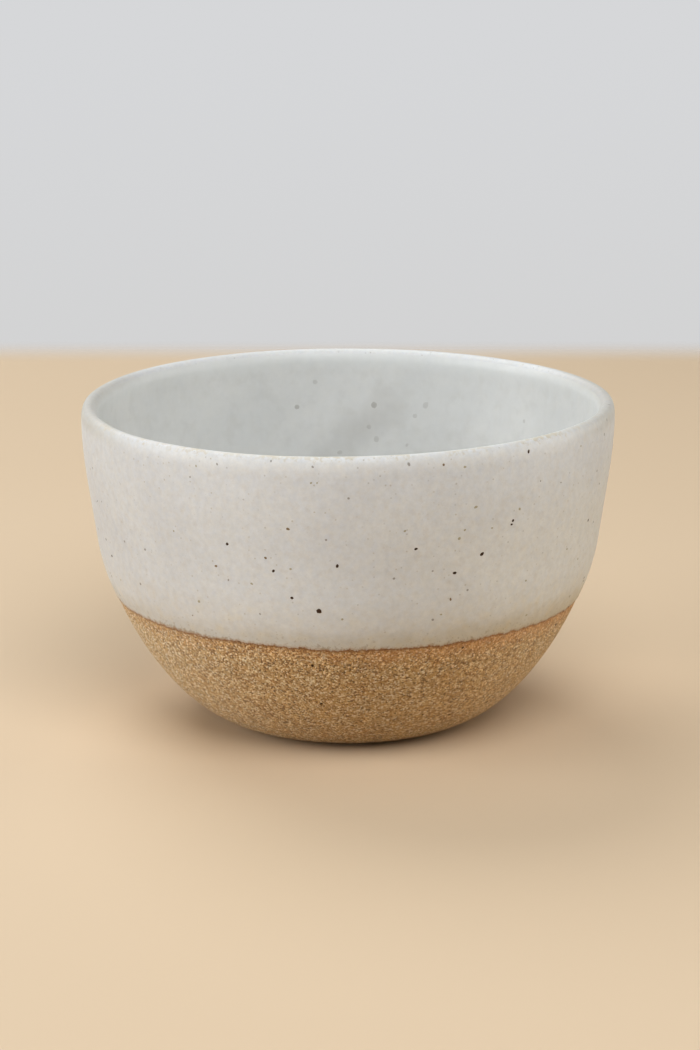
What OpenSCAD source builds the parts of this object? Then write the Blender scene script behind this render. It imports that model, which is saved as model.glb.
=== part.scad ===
// Hand-thrown stoneware prep bowl: one turned clay body under two coats of glaze.
// Z is the axis of the wheel, and the foot stands on Z = 0. Lengths are in millimetres.

/* [Bowl] */
// Diameter over the glazed lip
rim_d = 127; // [116:1:140]
// Height over the glazed lip
height = 77; // [66:1:90]
// Diameter of the foot where it meets the table
foot_d = 57; // [46:1:68]

/* [Outside wall] */
// Height of the shoulder, where the trimmed belly runs into the thrown wall
shoulder_h = 44; // [38:1:52]
// Diameter of the clay at the shoulder
shoulder_d = 119.5; // [110:0.5:124]
// Lean of the wall at the shoulder, in degrees from upright
shoulder_lean = 8; // [4:1:12]
// Run of the belly out from the foot before it turns up, as a share of its reach
belly_run_share = 0.52; // [0.4:0.01:0.65]
// Climb of the belly over that run, as a share of the shoulder height
belly_climb_share = 0.09; // [0.04:0.01:0.14]
// Straightness of the belly below the shoulder, as a share of the shoulder height
belly_top_share = 0.31; // [0.2:0.01:0.4]
// Straightness of the wall above the shoulder, as a share of the wall height
wall_foot_share = 0.49; // [0.3:0.01:0.55]
// Upright stretch of the wall under the lip, as a share of the wall height
wall_top_share = 0.31; // [0.2:0.01:0.4]

/* [Inside] */
// Width of the clay lip
lip_w = 3.2; // [2.4:0.1:4.2]
// Outer rounding of the lip as a share of its width; the crisper inner edge takes the rest
lip_round_share = 0.73; // [0.5:0.01:0.8]
// Thickness of the clay wall at the shoulder
wall_t = 4; // [3:0.1:5.2]
// Thickness of the clay at the haunch, low on the belly, where the inside turns into the floor
haunch_t = 4.9; // [4.2:0.1:6]
// Place of the haunch along the belly, as a share of the way from the foot to the shoulder
haunch_share = 0.56; // [0.48:0.01:0.65]
// Thickness of the clay floor over the recess in the foot
floor_t = 5.8; // [4.5:0.1:7]
// Drop of the inside past the haunch before it levels off, as a share of what is left to the floor
floor_turn_share = 0.72; // [0.6:0.01:0.85]
// Flat of the floor out from its middle, as a share of its radius at the haunch
floor_flat_share = 0.6; // [0.5:0.01:0.7]

/* [Throwing rings] */
// Spacing of the finger rings inside, down the wall and in across the floor
ring_pitch = 6; // [4:0.5:9]
// Depth of the finger rings at the wall; they fade out towards the middle of the floor
ring_depth = 0.12; // [0.04:0.01:0.25]

/* [Foot] */
// Width of the flat ring that the bowl stands on
foot_ring_w = 5.5; // [4:0.1:8]
// Depth of the turned recess inside the foot ring
recess_h = 2.4; // [1.5:0.1:3.5]
// Slope of the side of the recess, as a share of its depth
recess_slope_share = 0.6; // [0.3:0.05:1]
// Flat of the recess out from its middle, as a share of its radius
recess_flat_share = 0.75; // [0.5:0.01:0.9]

/* [Glaze] */
// Height of the level line where the outer glaze stops
glaze_line_h = 31.4; // [24:0.1:37]
// Thickness of both coats of glaze
glaze_t = 0.4; // [0.25:0.05:0.6]
// Thickness of the rolled edge of the outer coat at its line
glaze_edge_t = 0.5; // [0.3:0.05:0.8]
// What is left of the glaze where it breaks over the crisp inner edge of the lip
glaze_break_share = 0.35; // [0.2:0.05:0.9]

/* [Hidden] */
$fn = 180;

belly_steps = 26;
wall_steps = 16;
lip_steps = 6;
edge_steps = 6;
recess_steps = 12;
steps_per_ring = 6;

clay_colour = [0.63, 0.47, 0.31];
liner_colour = [0.80, 0.81, 0.80];
outer_colour = [0.85, 0.83, 0.79];

foot_r = foot_d / 2;
shoulder_r = shoulder_d / 2;
clay_rim_r = rim_d / 2 - glaze_t;
clay_h = height - glaze_t;
lip_outer_r = lip_w * lip_round_share;
lip_inner_r = lip_w - lip_outer_r;
wall_top_h = clay_h - lip_outer_r;
floor_h = recess_h + floor_t;

// An outline is a run of cubic curves, each four points of [radius, height], from the foot up the outside
// and over the lip to the middle of the floor. Out of the clay is to the right of the way along.
function spot(curve, u) = pow(1 - u, 3) * curve[0] + 3 * u * pow(1 - u, 2) * curve[1]
    + 3 * u * u * (1 - u) * curve[2] + pow(u, 3) * curve[3];
function way(curve, u) = pow(1 - u, 2) * (curve[1] - curve[0]) + 2 * u * (1 - u) * (curve[2] - curve[1])
    + u * u * (curve[3] - curve[2]);
function right_of(v) = [v[1], -v[0]] / norm(v);
function left_of(v) = [-v[1], v[0]] / norm(v);

// A station is a pair: a point on the clay, and the point on the glaze over it.
function curve_stations(curve, steps) = [
    for (i = [0 : steps])
        let (u = i / steps, clay = spot(curve, u))
            [clay, clay + glaze_t * right_of(way(curve, u))]
];
function arc_stations(centre, r, from, to, breaks = false) = [
    for (i = [0 : lip_steps])
        let (
            a = from + (to - from) * i / lip_steps,
            out = [cos(a), sin(a)],
            thin_share = breaks ? (1 - glaze_break_share) * sin(2 * (a - 90)) : 0
        )
            [centre + r * out, centre + (r + glaze_t * (1 - thin_share)) * out]
];

// The inside follows a curve of the outside from its end down to a share of it, at a thickness that eases
// from one value to the other.
function inside_station(curve, u, t) = let (
    out = right_of(way(curve, u)),
    clay = spot(curve, u) - t * out
) [clay, clay - glaze_t * out];
function inside_stations(curve, to_share, from_t, to_t, steps) = [
    for (i = [0 : steps])
        let (eased = (1 - cos(180 * i / steps)) / 2)
            inside_station(curve, 1 - (1 - to_share) * i / steps, from_t + (to_t - from_t) * eased)
];

// Finger rings are counted down the wall and in across the floor, and press the clay back a little.
function ring_steps(from, to) = steps_per_ring * ceil((from[0] - to[0] + from[1] - to[1]) / ring_pitch);
function ring_press(p) = ring_depth * p[0] / inside_top[0]
    * (1 - cos(360 * (inside_top[0] - p[0] + inside_top[1] - p[1]) / ring_pitch)) / 2;
function ringed(stations) = [
    for (s = stations)
        let (press = ring_press(s[0]) * (s[1] - s[0]) / glaze_t)
            [s[0] - press, s[1] - press]
];

// The station where a run of stations climbs through a height.
function crossing(stations, h) = let (
    above = [for (i = [1 : len(stations) - 1]) if (stations[i][0][1] > h) i][0],
    low = stations[above - 1],
    high = stations[above],
    share = (h - low[0][1]) / (high[0][1] - low[0][1])
) low + share * (high - low);

function clay_side(stations) = [for (s = stations) s[0]];
function glaze_side(stations) = [for (s = stations) s[1]];
function backwards(points) = [for (i = [len(points) - 1 : -1 : 0]) points[i]];

// Outside: the trimmed belly and the thrown wall share the shoulder point and its lean.
shoulder = [shoulder_r, shoulder_h];
shoulder_way = [sin(shoulder_lean), cos(shoulder_lean)];
wall_h = wall_top_h - shoulder_h;
belly_curve = [
    [foot_r, 0],
    [foot_r + (shoulder_r - foot_r) * belly_run_share, shoulder_h * belly_climb_share],
    shoulder - shoulder_h * belly_top_share * shoulder_way,
    shoulder
];
wall_curve = [
    shoulder,
    shoulder + wall_h * wall_foot_share * shoulder_way,
    [clay_rim_r, wall_top_h - wall_h * wall_top_share],
    [clay_rim_r, wall_top_h]
];

// Inside: it follows the outside from the lip to the haunch, and a last curve levels off to the floor.
inside_top = [clay_rim_r - lip_w, clay_h - lip_inner_r];
inside_shoulder = inside_station(wall_curve, 0, wall_t)[0];
haunch = inside_station(belly_curve, haunch_share, haunch_t)[0];
haunch_way = way(belly_curve, haunch_share);
floor_curve = [
    haunch,
    haunch - (haunch[1] - floor_h) * floor_turn_share * haunch_way / haunch_way[1],
    [haunch[0] * floor_flat_share, floor_h],
    [0, floor_h]
];

// Underside: a soft dished recess inside the foot ring.
recess_r = foot_r - foot_ring_w;
recess_curve = [
    [0, recess_h],
    [recess_r * recess_flat_share, recess_h],
    [recess_r - recess_h * recess_slope_share, recess_h],
    [recess_r, 0]
];

outside_stations = concat(curve_stations(belly_curve, belly_steps), curve_stations(wall_curve, wall_steps));
lip_outer_stations = arc_stations([clay_rim_r - lip_outer_r, wall_top_h], lip_outer_r, 0, 90);
lip_inner_centre = [inside_top[0] + lip_inner_r, inside_top[1]];
lip_break_stations = arc_stations(lip_inner_centre, lip_inner_r, 90, 135, breaks = true);
lip_liner_stations = arc_stations(lip_inner_centre, lip_inner_r, 135, 180, breaks = true);
inside_wall_steps = ring_steps(inside_top, inside_shoulder);
inside_belly_steps = ring_steps(inside_shoulder, haunch);
floor_steps = ring_steps(haunch, floor_curve[3]);
inside_clay_stations = concat(
    inside_stations(wall_curve, 0, lip_w, wall_t, inside_wall_steps),
    inside_stations(belly_curve, haunch_share, wall_t, haunch_t, inside_belly_steps),
    curve_stations(floor_curve, floor_steps)
);

// The outer coat starts at its line with a rolled edge, a quarter round that rises off the clay.
line_station = crossing(outside_stations, glaze_line_h);
line_out = (line_station[1] - line_station[0]) / glaze_t;
line_up = left_of(line_out);
edge_centre = line_station[0] + glaze_edge_t * line_up;
edge_points = [
    for (i = [1 : edge_steps])
        let (a = 90 * i / edge_steps)
            edge_centre + glaze_edge_t * (sin(a) * line_out - cos(a) * line_up)
];
coated_stations = concat(
    [for (s = outside_stations) if (s[0][1] > glaze_line_h) s],
    lip_outer_stations,
    lip_break_stations
);
past_edge_stations = [for (s = coated_stations) if (s[0][1] > edge_centre[1] + glaze_edge_t) s];
liner_stations = concat(lip_liner_stations, ringed(inside_clay_stations));

clay_outline = concat(
    [for (i = [0 : recess_steps]) spot(recess_curve, i / recess_steps)],
    clay_side([for (s = outside_stations) if (s[0][1] < glaze_line_h) s]),
    [line_station[0]],
    clay_side(coated_stations),
    clay_side(liner_stations)
);
outer_outline = concat(
    [line_station[0]],
    edge_points,
    glaze_side(past_edge_stations),
    backwards(clay_side(coated_stations))
);
liner_outline = concat(
    glaze_side(liner_stations),
    backwards(clay_side(liner_stations))
);

// Bare stoneware with its trimmed belly, foot ring and recess; both coats sit on it face to face.
module clay_body() {
    color(clay_colour)
        rotate_extrude()
            polygon(clay_outline);
}

// Coat poured inside: from the crisp inner edge of the lip down to the floor.
module liner_glaze() {
    color(liner_colour)
        rotate_extrude()
            polygon(liner_outline);
}

// Coat dipped outside: from its level line up the wall and over the lip to the same inner edge.
module outer_glaze() {
    color(outer_colour)
        rotate_extrude()
            polygon(outer_outline);
}

clay_body();
liner_glaze();
outer_glaze();
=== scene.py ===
import math
import random

import bmesh
import bpy
import numpy as np
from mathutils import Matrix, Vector
from mathutils.bvhtree import BVHTree


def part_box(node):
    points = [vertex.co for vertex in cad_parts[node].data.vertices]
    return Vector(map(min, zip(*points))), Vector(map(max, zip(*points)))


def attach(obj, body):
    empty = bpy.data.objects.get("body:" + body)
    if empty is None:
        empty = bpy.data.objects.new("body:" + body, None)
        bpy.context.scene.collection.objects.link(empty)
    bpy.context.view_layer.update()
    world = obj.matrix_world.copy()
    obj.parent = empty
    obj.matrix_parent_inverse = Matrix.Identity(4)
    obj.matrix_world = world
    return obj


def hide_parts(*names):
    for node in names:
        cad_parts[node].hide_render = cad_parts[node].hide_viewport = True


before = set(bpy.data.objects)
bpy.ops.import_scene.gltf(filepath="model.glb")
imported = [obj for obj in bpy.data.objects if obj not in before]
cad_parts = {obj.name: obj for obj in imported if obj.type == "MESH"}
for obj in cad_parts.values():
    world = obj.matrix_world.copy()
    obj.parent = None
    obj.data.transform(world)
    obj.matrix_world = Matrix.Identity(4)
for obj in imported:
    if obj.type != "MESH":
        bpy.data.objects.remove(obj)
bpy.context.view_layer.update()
scene = bpy.context.scene
mm = 0.001
print("frame loaded:", sorted(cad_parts))


def paint(red, green, blue):
    # screen values from 0 to 255, as the linear colour that a shader takes
    shares = [value / 255 for value in (red, green, blue)]
    return (*[s / 12.92 if s <= 0.04045 else ((s + 0.055) / 1.055) ** 2.4 for s in shares], 1.0)


# Node trees

class Wire:              # an output socket that takes part in sums
    def __init__(self, tree, socket):
        self.tree = tree
        self.socket = socket

    def __neg__(self):
        return self.tree.maths("MULTIPLY", self, -1)


def overload(word, operation):
    # a sum adds a Math node, whichever side of the sign the wire stands on
    setattr(Wire, "__" + word + "__", lambda wire, other: wire.tree.maths(operation, wire, other))
    setattr(Wire, "__r" + word + "__", lambda wire, other: wire.tree.maths(operation, other, wire))


for word, operation in (("add", "ADD"), ("sub", "SUBTRACT"), ("mul", "MULTIPLY"), ("truediv", "DIVIDE")):
    overload(word, operation)


class Outputs:           # the output sockets of one node, by name or identifier
    def __init__(self, tree, node):
        self.tree = tree
        self.node = node

    def __getitem__(self, key):
        return Wire(self.tree, findSocket(self.node.outputs, key))


def findSocket(sockets, key):
    if isinstance(key, int):
        return sockets[key]
    return next(s for s in sockets if key in (s.identifier, s.name))


class Tree:              # a node tree of a material, of the world or of geometry
    def __init__(self, nodeTree):
        self.nodeTree = nodeTree
        nodeTree.nodes.clear()

    def node(self, kind, settings=None, sockets=None):
        made = self.nodeTree.nodes.new(kind)
        for name, value in (settings or {}).items():
            if name == "stops":
                self.setStops(made.color_ramp, value)
            else:
                setattr(made, name, value)
        for key, value in (sockets or {}).items():
            socket = findSocket(made.inputs, key)
            if isinstance(value, Wire):
                self.nodeTree.links.new(value.socket, socket)
            else:
                socket.default_value = value
        return Outputs(self, made)

    def setStops(self, ramp, stops):
        while len(ramp.elements) < len(stops):
            ramp.elements.new(1.0)
        for element, (place, colour) in zip(ramp.elements, stops):
            element.position = place
            element.color = colour

    def maths(self, operation, *terms):
        return self.node("ShaderNodeMath", {"operation": operation}, dict(enumerate(terms)))["Value"]

    def vectorMaths(self, operation, *terms):
        made = self.node("ShaderNodeVectorMath", {"operation": operation}, dict(enumerate(terms)))
        return made["Value" if operation in ("DOT_PRODUCT", "LENGTH", "DISTANCE") else "Vector"]

    def scaled(self, vector, size):
        sockets = {"Vector": vector, "Scale": size}
        return self.node("ShaderNodeVectorMath", {"operation": "SCALE"}, sockets)["Vector"]

    def joined(self, x, y, z):
        return self.node("ShaderNodeCombineXYZ", {}, {"X": x, "Y": y, "Z": z})["Vector"]

    def split(self, vector):
        parts = self.node("ShaderNodeSeparateXYZ", {}, {"Vector": vector})
        return parts["X"], parts["Y"], parts["Z"]

    def eased(self, value, low, high, full=1.0):
        # 0 at low and full at high, with soft ends; low may be the larger
        sockets = {"Value": value, "From Min": low, "From Max": high, "To Max": full}
        return self.node("ShaderNodeMapRange", {"interpolation_type": "SMOOTHSTEP"}, sockets)["Result"]

    def band(self, value, start, full, fading, end):
        # 1 from full to fading, and 0 before the start and past the end
        return self.eased(value, start, full) * self.eased(value, end, fading)

    def mixed(self, factor, first, second):
        return self.node("ShaderNodeMix", {"data_type": "RGBA"},
                         {"Factor_Float": factor, "A_Color": first, "B_Color": second})["Result_Color"]

    def varied(self, colour, shade, tint):
        # lighter by the shade and warmer by the tint, which are shares about zero
        grey = shade + 1
        return self.vectorMaths("MULTIPLY", colour, self.joined(grey + tint * 0.5, grey, grey - tint))

    def noise(self, place, size, detail=2.0, rough=0.5, output="Fac"):
        # size is the width of one lump, in the units of the place
        return self.node("ShaderNodeTexNoise", {},
                         {"Vector": place, "Scale": 1 / size, "Detail": detail, "Roughness": rough})[output]

    def swing(self, place, size, amount, detail=2.0, rough=0.5):
        # noise about zero, by the amount either way at most
        return (self.noise(place, size, detail, rough) - 0.5) * (amount * 2)

    def blots(self, place, size, low, high, full, detail=2.0, rough=0.5):
        # blots that start where the noise passes low and are full where it passes high
        return self.eased(self.noise(place, size, detail, rough), low, high, full)

    def cells(self, place, size, output="Distance"):
        return self.node("ShaderNodeTexVoronoi", {}, {"Vector": place, "Scale": 1 / size})[output]

    def bumped(self, height, strength, depth):
        # a depth in millimetres
        sockets = {"Height": height, "Strength": strength, "Distance": depth * mm}
        return self.node("ShaderNodeBump", {}, sockets)["Normal"]


def geometryTree(name, inputs):
    nodeTree = bpy.data.node_groups.new(name, "GeometryNodeTree")
    for label, kind in inputs.items():
        nodeTree.interface.new_socket(label, in_out="INPUT", socket_type="NodeSocket" + kind)
    nodeTree.interface.new_socket("Geometry", in_out="OUTPUT", socket_type="NodeSocketGeometry")
    tree = Tree(nodeTree)
    return tree, tree.node("NodeGroupInput")


sharpBend = math.radians(38)


def finishTree(tree, geometry, material, corners=False):
    whole = tree.node("GeometryNodeRealizeInstances", {}, {"Geometry": geometry})["Geometry"]
    smooth = tree.node("GeometryNodeSetShadeSmooth", {}, {"Geometry": whole})["Geometry"]
    if corners:          # edges that bend by more than this stay sharp
        bend = tree.node("GeometryNodeInputMeshEdgeAngle")["Unsigned Angle"]
        sharp = tree.maths("GREATER_THAN", bend, sharpBend)
        smooth = tree.node("GeometryNodeSetShadeSmooth", {"domain": "EDGE"}, {
            "Geometry": smooth, "Selection": sharp, "Shade Smooth": False})["Geometry"]
    coated = tree.node("GeometryNodeSetMaterial", {}, {"Geometry": smooth, "Material": material})["Geometry"]
    tree.node("NodeGroupOutput", {}, {"Geometry": coated})
    return tree.nodeTree


def stored(tree, geometry, name, value, domain="POINT"):
    return tree.node("GeometryNodeStoreNamedAttribute", {"data_type": "FLOAT", "domain": domain},
                     {"Geometry": geometry, "Name": name, "Value": value})["Geometry"]


def attribute(tree, name, kind="FLOAT"):
    return tree.node("GeometryNodeInputNamedAttribute", {"data_type": kind}, {"Name": name})["Attribute"]


def unitGrid(tree, columns, rows):
    # a grid one unit wide and high, and where each of its points lies across and up it
    grid = tree.node("GeometryNodeMeshGrid", {}, {
        "Size X": 1, "Size Y": 1, "Vertices X": columns, "Vertices Y": rows})["Mesh"]
    across, up, _ = tree.split(tree.node("GeometryNodeInputPosition")["Position"])
    return grid, across, up


def placedAt(tree, geometry, x, y, z, merging):
    # moves the points there, and joins those that meet
    moved = tree.node("GeometryNodeSetPosition", {}, {
        "Geometry": geometry, "Position": tree.joined(x, y, z)})["Geometry"]
    return tree.node("GeometryNodeMergeByDistance", {}, {"Geometry": moved, "Distance": merging})["Geometry"]


def drawn(tree, low, high, seed):
    return tree.node("FunctionNodeRandomValue", {"data_type": "FLOAT"},
                     {"Min_001": low, "Max_001": high, "Seed": seed})["Value_001"]


def lyingOn(tree, normal, seed):
    # flat on the surface, and turned any way round
    lie = tree.node("FunctionNodeAlignRotationToVector", {"axis": "Z"}, {"Vector": normal})["Rotation"]
    spin = tree.joined(0.0, 0.0, drawn(tree, -math.pi, math.pi, seed))
    return tree.node("FunctionNodeRotateRotation", {"rotation_space": "LOCAL"}, {
        "Rotation": lie, "Rotate By": spin})["Rotation"]


def hump(tree, turn, middle, width):
    # 1 at the middle and softly less away from it, by degrees round the bowl
    away = (turn - math.radians(middle)) / math.radians(width)
    return tree.maths("EXPONENT", -(away * away))


def grown(name, startMesh, nodeTree, values):
    # runs a geometry tree on a mesh, and returns a plain object that holds the result
    piece = bpy.data.objects.new(name, startMesh)
    scene.collection.objects.link(piece)
    modifier = piece.modifiers.new(nodeTree.name, "NODES")
    modifier.node_group = nodeTree
    for item in nodeTree.interface.items_tree:
        if item.in_out == "INPUT" and item.name in values:
            modifier[item.identifier] = values[item.name]
    depsgraph = bpy.context.evaluated_depsgraph_get()
    mesh = bpy.data.meshes.new_from_object(
        piece.evaluated_get(depsgraph), preserve_all_data_layers=True, depsgraph=depsgraph)
    piece.modifiers.clear()
    piece.data = mesh
    mesh.name = name
    finish = next(item for item in mesh.materials if item)  # the tree leaves an empty slot before it
    mesh.materials.clear()
    mesh.materials.append(finish)
    mesh.polygons.foreach_set("material_index", [0] * len(mesh.polygons))
    print(name, "has", sum(len(face.vertices) - 2 for face in mesh.polygons), "triangles")
    return piece


# The turned outline, in millimetres: the rule that the CAD part follows, with more stations

bowl = {
    "rimR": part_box("outer_glaze")[1].x / mm,
    "height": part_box("outer_glaze")[1].z / mm,
    "footR": 28.5,
    "shoulderR": 59.75, "shoulderH": 44.0, "shoulderLean": 8.0,
    "bellyShares": (0.52, 0.09, 0.31),       # run and climb out of the foot, straightness under the shoulder
    "wallShares": (0.49, 0.31),              # straightness over the shoulder and under the lip
    "lipW": 3.2, "lipRoundShare": 0.73,
    "wallT": 4.0, "haunchT": 4.9, "haunchShare": 0.56,
    "floorT": 5.8, "floorTurnShare": 0.72, "floorFlatShare": 0.6,
    "ringPitch": 6.0, "ringDepth": 0.03,     # the photograph hardly shows the rings of the CAD part
    "footRingW": 5.5, "recessH": 2.4, "recessShares": (0.75, 0.6),
    "lineH": 31.4, "coatT": 0.4, "edgeT": 0.22, "taperL": 5.0,
}

# The coat over the lip, read off the photograph's outline: half an oval on each side of the crest, and a
# power above 2 makes an oval squarer
softLip = {"outerW": 1.9, "drops": {1: 4.6, -1: 3.2}, "powers": {1: 3.2, -1: 2.0}, "splitAngle": 45}
guideSteps = {
    "belly": 400, "wall": 300, "inWall": 60, "inBelly": 30, "floor": 30, "lip": (12, 6, 6), "oval": 400,
}
lipStart, lipEnd = [bowl["height"] - softLip["drops"][side] for side in (1, -1)]


def cubicSpot(curve, u):
    a, b, c, d = curve
    return (1 - u) ** 3 * a + 3 * u * (1 - u) ** 2 * b + 3 * u * u * (1 - u) * c + u ** 3 * d


def cubicWay(curve, u):
    a, b, c, d = curve
    return (1 - u) ** 2 * (b - a) + 2 * u * (1 - u) * (c - b) + u * u * (d - c)


def rightOf(way):
    return np.array([way[1], -way[0]]) / np.hypot(*way)


def leftOf(way):
    return -rightOf(way)


footR, floorH = bowl["footR"], bowl["recessH"] + bowl["floorT"]
coatT = bowl["coatT"]
clayRimR, clayH = bowl["rimR"] - coatT, bowl["height"] - coatT
lipOuterR = bowl["lipW"] * bowl["lipRoundShare"]
lipInnerR = bowl["lipW"] - lipOuterR
wallTopH = clayH - lipOuterR
wallH = wallTopH - bowl["shoulderH"]
lean = math.radians(bowl["shoulderLean"])
shoulder = np.array([bowl["shoulderR"], bowl["shoulderH"]])
shoulderWay = np.array([math.sin(lean), math.cos(lean)])
runShare, climbShare, straightShare = bowl["bellyShares"]
bellyCurve = [
    np.array([footR, 0.0]),
    np.array([footR + (shoulder[0] - footR) * runShare, shoulder[1] * climbShare]),
    shoulder - shoulder[1] * straightShare * shoulderWay,
    shoulder,
]
wallCurve = [
    shoulder,
    shoulder + wallH * bowl["wallShares"][0] * shoulderWay,
    np.array([clayRimR, wallTopH - wallH * bowl["wallShares"][1]]),
    np.array([clayRimR, wallTopH]),
]
insideTop = np.array([clayRimR - bowl["lipW"], clayH - lipInnerR])
haunchWay = cubicWay(bellyCurve, bowl["haunchShare"])
haunch = cubicSpot(bellyCurve, bowl["haunchShare"]) - bowl["haunchT"] * rightOf(haunchWay)
floorCurve = [
    haunch,
    haunch - (haunch[1] - floorH) * bowl["floorTurnShare"] * haunchWay / haunchWay[1],
    np.array([haunch[0] * bowl["floorFlatShare"], floorH]),
    np.array([0.0, floorH]),
]
recessR = footR - bowl["footRingW"]
recessCurve = [
    np.array([0.0, bowl["recessH"]]),
    np.array([recessR * bowl["recessShares"][0], bowl["recessH"]]),
    np.array([recessR - bowl["recessH"] * bowl["recessShares"][1], bowl["recessH"]]),
    np.array([recessR, 0.0]),
]


# A station is a spot on the clay, the way out of the clay there, and the thickness of the coat over it

def alongCurve(curve, steps):
    return [(cubicSpot(curve, u), rightOf(cubicWay(curve, u)), coatT) for u in np.linspace(0, 1, steps + 1)]


def alongInside(curve, endShare, startT, endT, steps):
    stations = []
    for share in np.linspace(0, 1, steps + 1):
        u = 1 - (1 - endShare) * share
        thickness = startT + (endT - startT) * (1 - math.cos(math.pi * share)) / 2
        out = rightOf(cubicWay(curve, u))
        stations.append((cubicSpot(curve, u) - thickness * out, -out, coatT))
    return stations


def ringed(stations):
    # finger rings press the clay back a little, down the wall and in across the floor
    pressed = []
    for spot, out, coat in stations:
        run = max(0.0, insideTop[0] - spot[0] + lipEnd - spot[1])
        depth = bowl["ringDepth"] * spot[0] / insideTop[0]
        press = depth * (1 - math.cos(2 * math.pi * run / bowl["ringPitch"])) / 2
        pressed.append((spot - press * out, out, coat))
    return pressed


def outsideRun(bellySteps, wallSteps):
    return alongCurve(bellyCurve, bellySteps) + alongCurve(wallCurve, wallSteps)[1:]


def insideRun(wallSteps, bellySteps, floorSteps):
    down = alongInside(wallCurve, 0, bowl["lipW"], bowl["wallT"], wallSteps)
    low = alongInside(bellyCurve, bowl["haunchShare"], bowl["wallT"], bowl["haunchT"], bellySteps)
    return ringed(down[1:] + low[1:] + alongCurve(floorCurve, floorSteps)[1:])


def atHeight(stations, height):
    above = next(i for i in range(1, len(stations)) if stations[i][0][1] > height)
    low, high = stations[above - 1], stations[above]
    share = (height - low[0][1]) / (high[0][1] - low[0][1])
    out = low[1] + share * (high[1] - low[1])
    return low[0] + share * (high[0] - low[0]), out / np.hypot(*out), coatT


fineOutside = outsideRun(guideSteps["belly"], guideSteps["wall"])
lineStation = atHeight(fineOutside, bowl["lineH"])


def coatSurface(stations):
    return np.array([spot + coat * out for spot, out, coat in stations])


insideWall = alongInside(wallCurve, 0, bowl["lipW"], bowl["wallT"], guideSteps["inWall"])
lipSides = {
    1: (softLip["outerW"], coatSurface(fineOutside)),
    -1: (bowl["lipW"] + 2 * coatT - softLip["outerW"], coatSurface(insideWall)[::-1]),
}


def overLip(side, start, end, steps):
    # side is 1 outside the crest and -1 inside it; the angle is 90 on the crest; the steps are equally long
    width, wall = lipSides[side]
    drop, power = softLip["drops"][side], softLip["powers"][side]
    angles = np.radians(np.linspace(start, end, guideSteps["oval"]))
    across, up = np.cos(angles).clip(0) ** (2 / power), np.sin(angles) ** (2 / power)
    heights = bowl["height"] - drop * (1 - up)
    reaches = np.interp(heights, wall[:, 1], wall[:, 0]) - side * width * (1 - across)
    ways = side * across ** (power - 1) / width, up ** (power - 1) / drop
    runs = np.concatenate([[0], np.cumsum(np.hypot(np.diff(reaches), np.diff(heights)))])
    stations = []
    for run in np.linspace(0, runs[-1], steps + 1):
        x, z, outX, outZ = [np.interp(run, runs, values) for values in (reaches, heights, *ways)]
        stations.append((np.array([x, z]), np.array([outX, outZ]) / math.hypot(outX, outZ), 0.0))
    return stations


def runsAlong(stations):
    return np.concatenate([[0], np.cumsum(np.hypot(*np.diff(coatSurface(stations), axis=0).T))])


def between(stations, low, high):
    return [station for station in stations if low < station[0][1] < high]


def wholeLip(outerSteps, crestSteps):
    return overLip(1, 0, 90, outerSteps) + overLip(-1, 90, softLip["splitAngle"], crestSteps)[1:]


outerSteps, crestSteps, innerSteps = guideSteps["lip"]
lipOver = wholeLip(outerSteps, crestSteps)
lipInside = overLip(-1, softLip["splitAngle"], 0, innerSteps)
guideInside = insideRun(guideSteps["inWall"], guideSteps["inBelly"], guideSteps["floor"])
guideLine = between(fineOutside, 0, lipStart) + lipOver + lipInside + between(guideInside, 0, lipEnd)
guideSpots, guideRun = coatSurface(guideLine), runsAlong(guideLine)       # millimetres along the surface


def runAt(station):
    spot, out, coat = station
    return guideRun[np.argmin(np.hypot(*(guideSpots - spot - coat * out).T))]


lineRun, breakRun = runAt(lineStation), runAt(lipInside[0])


def softened(share):
    return share * share * (3 - 2 * share)


# Where the real line, rim and wall leave the true form: places are degrees round from the front, to the right
hand = {
    "lineBase": -0.1,                        # millimetres, as the rest here
    "lineBumps": [(-23, 14, 0.25), (-1.5, 7, -0.25), (20, 5, -0.2), (35, 4, 0.2), (49, 6, 0.12)],
    "lineWander": 0.42, "wanderShare": 0.35, "wanderFrom": (55, 80),      # lumps as a share of the radius
    "lineTremble": 1.2, "trembleShare": 0.026,
    "slideLength": 7.0,                      # the coat above the line follows its wander over this length
    "lineFuzz": [(-43, 11, 1.0), (-30, 4, 0.5), (-5, 3, 0.9), (28, 5, 0.35), (120, 14, 0.8), (-150, 9, 0.7)],
    "rimSway": (0.452, 0.259), "swayStart": 40.0,
    "lumps": 26.0, "dents": 4.5, "dentShare": 0.275,        # widths on the wall
}


def chain(name, points):
    # the outline as a run of edges, whose points carry what the tree and the materials need
    mesh = bpy.data.meshes.new(name)
    places = [(p["spot"][0] * mm, 0, p["spot"][1] * mm) for p in points]
    mesh.from_pydata(places, [(i, i + 1) for i in range(len(points) - 1)], [])
    ways = [leftOf(p["out"]) for p in points]
    for label in ("lineGap", "breakGap", "slide", "grain"):
        made = mesh.attributes.new(label, "FLOAT", "POINT")
        made.data.foreach_set("value", [p[label] for p in points])
    for label, vectors in (("out", [p["out"] for p in points]), ("along", ways)):
        made = mesh.attributes.new(label, "FLOAT_VECTOR", "POINT")
        flat = [value for v in vectors for value in (v[0], 0, v[1])]
        made.data.foreach_set("vector", flat)
    return mesh


def point(station, lift, grain=0.0, slides=False):
    spot, out, _ = station
    run = runAt(station)
    gap = run - lineRun
    slide = max(0.0, 1 - max(0.0, gap) / hand["slideLength"]) if slides else 0.0
    return {"spot": spot + lift * out, "out": out, "lineGap": gap, "breakGap": breakRun - run,
            "slide": softened(slide), "grain": grain}


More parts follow.
